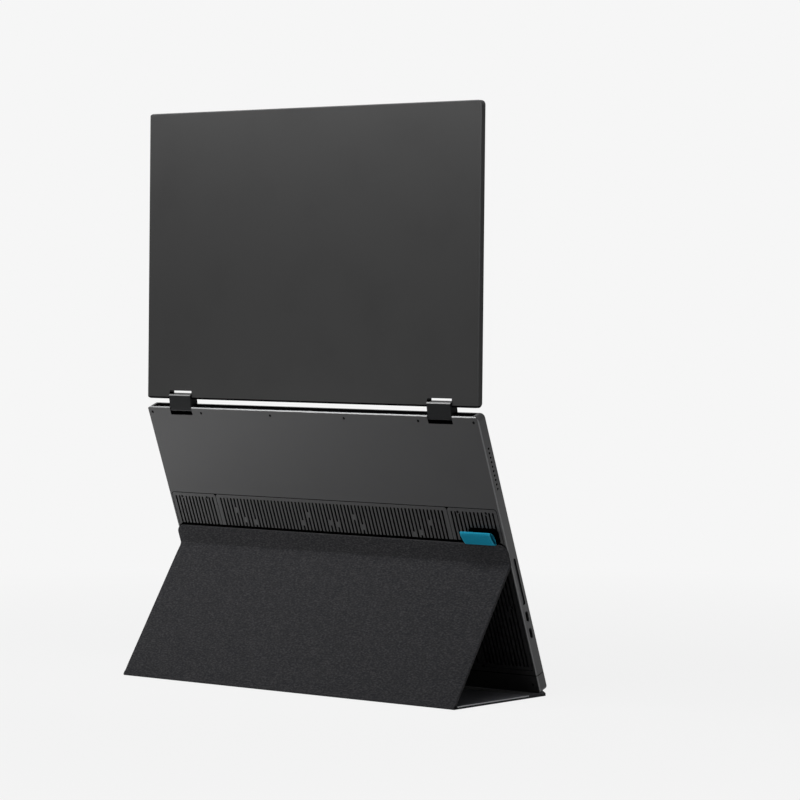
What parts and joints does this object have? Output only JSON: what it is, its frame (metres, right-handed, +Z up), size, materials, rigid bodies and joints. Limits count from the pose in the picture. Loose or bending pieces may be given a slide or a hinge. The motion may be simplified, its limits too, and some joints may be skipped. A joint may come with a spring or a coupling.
{
  "type": "portable monitor with cover",
  "caption": "Portable monitor: a thin screen panel hinged above a ribbed-back housing by double-axis hinges, propped open by a folding fabric cover stand with a ribbon tab.",
  "frame": {"origin": "on the desk under the cover sheet, midway across, below the rear bottom edge of the lower housing", "axes": "+Z up, +Y towards the rear of the stand, the screen faces -Y, X along the hinge axes"},
  "size_m": [0.356, 0.1392, 0.4715],
  "materials": {
    "cover_fabric": "dark charcoal melange weave",
    "cover_lining": "soft dark grey lining",
    "stiff_board": "stiffening board",
    "magnet_metal": "flat magnets",
    "tab_ribbon": "teal ribbon",
    "housing_shell": "fine matte dark grey",
    "dust_mesh": "black mesh",
    "screw_black": "blackened",
    "chassis_metal": "plain sheet",
    "circuit_board": "solder mask",
    "shield_metal": "tinned",
    "black_plastic": "black",
    "key_plastic": "matte grey",
    "hinge_steel": "plain",
    "hinge_block_metal": "dark anodised",
    "screen_glass": "matte dark glass",
    "backlight_white": "diffuser",
    "bumper_rubber": "soft"
  },
  "bodies": {
    "stand_sheet": {"sheet_underside": "cover_fabric", "sheet_board": "stiff_board", "sheet_lining": "cover_lining", "magnet_band": "cover_fabric", "hold_magnets": "magnet_metal", "floor_fold": "cover_fabric"},
    "flap": {"flap_fabric": "cover_fabric", "flap_board": "stiff_board", "flap_lining": "cover_lining"},
    "housing": {"mount_strip": "cover_fabric", "upper_fold": "cover_fabric", "pull_tab": "tab_ribbon", "housing_back_cover": "housing_shell", "housing_front_cover": "housing_shell", "bottom_edge_cap": "housing_shell", "vent_grille_left": "housing_shell", "vent_grille_centre": "housing_shell", "vent_grille_right": "housing_shell", "vent_mesh": "dust_mesh", "back_screws": "screw_black", "chassis_plate": "chassis_metal", "main_board": "circuit_board", "board_shields": "shield_metal", "speaker_left": "black_plastic", "speaker_right": "black_plastic", "usb_socket_upper": "shield_metal", "usb_socket_lower": "shield_metal", "socket_tongues": "black_plastic", "key_board": "circuit_board", "key_switches": "black_plastic", "lower_bracket_left": "hinge_steel", "lower_bracket_right": "hinge_steel", "lower_shaft_left": "hinge_steel", "lower_shaft_right": "hinge_steel", "housing_cable": "black_plastic"},
    "hinge_link": {"hinge_block_left": "hinge_block_metal", "hinge_block_right": "hinge_block_metal", "hinge_cable": "black_plastic"},
    "lid": {"lid_back_cover": "housing_shell", "screen_bezel": "black_plastic", "lcd_panel": "screen_glass", "backlight": "backlight_white", "timing_board": "circuit_board", "screen_bumpers": "bumper_rubber", "upper_bracket_left": "hinge_steel", "upper_bracket_right": "hinge_steel", "upper_shaft_left": "hinge_steel", "upper_shaft_right": "hinge_steel", "screen_cable": "black_plastic"},
    "key_up_body": {"key_up": "key_plastic"},
    "key_select_body": {"key_select": "key_plastic"},
    "key_down_body": {"key_down": "key_plastic"}
  },
  "joints": [
    {"name": "floor_fold_hinge", "type": "hinge", "parent": "stand_sheet", "child": "flap", "pos_m": [0, 0.11023, 0.0012], "axis": [1, 0, 0], "range_deg": [-19.5, 13.25]},
    {"name": "stand_fold_hinge", "type": "hinge", "parent": "flap", "child": "housing", "pos_m": [0, 0.04005, 0.1074], "axis": [1, 0, 0], "range_deg": [-36, 53]},
    {"name": "lid_hinge_lower", "type": "hinge", "parent": "housing", "child": "hinge_link", "pos_m": [0, 0.07762, 0.22497], "axis": [1, 0, 0], "range_deg": [-55.5, 79.4]},
    {"name": "lid_hinge_upper", "type": "hinge", "parent": "hinge_link", "child": "lid", "pos_m": [0, 0.07925, 0.23443], "axis": [1, 0, 0], "range_deg": [-55.5, 79.4]},
    {"name": "key_up_press", "type": "slide", "parent": "housing", "child": "key_up_body", "axis": [1, 0, 0], "range_m": [0, 0.0004], "stiffness_N_per_m": 400, "springref_m": -0.0003},
    {"name": "key_select_press", "type": "slide", "parent": "housing", "child": "key_select_body", "axis": [1, 0, 0], "range_m": [0, 0.0004], "stiffness_N_per_m": 400, "springref_m": -0.0003},
    {"name": "key_down_press", "type": "slide", "parent": "housing", "child": "key_down_body", "axis": [1, 0, 0], "range_m": [0, 0.0004], "stiffness_N_per_m": 400, "springref_m": -0.0003}
  ],
  "couplings": [
    {"joint": "floor_fold_hinge", "follows": "stand_fold_hinge", "ratio": -0.3676},
    {"joint": "lid_hinge_upper", "follows": "lid_hinge_lower", "ratio": 1}
  ]
}
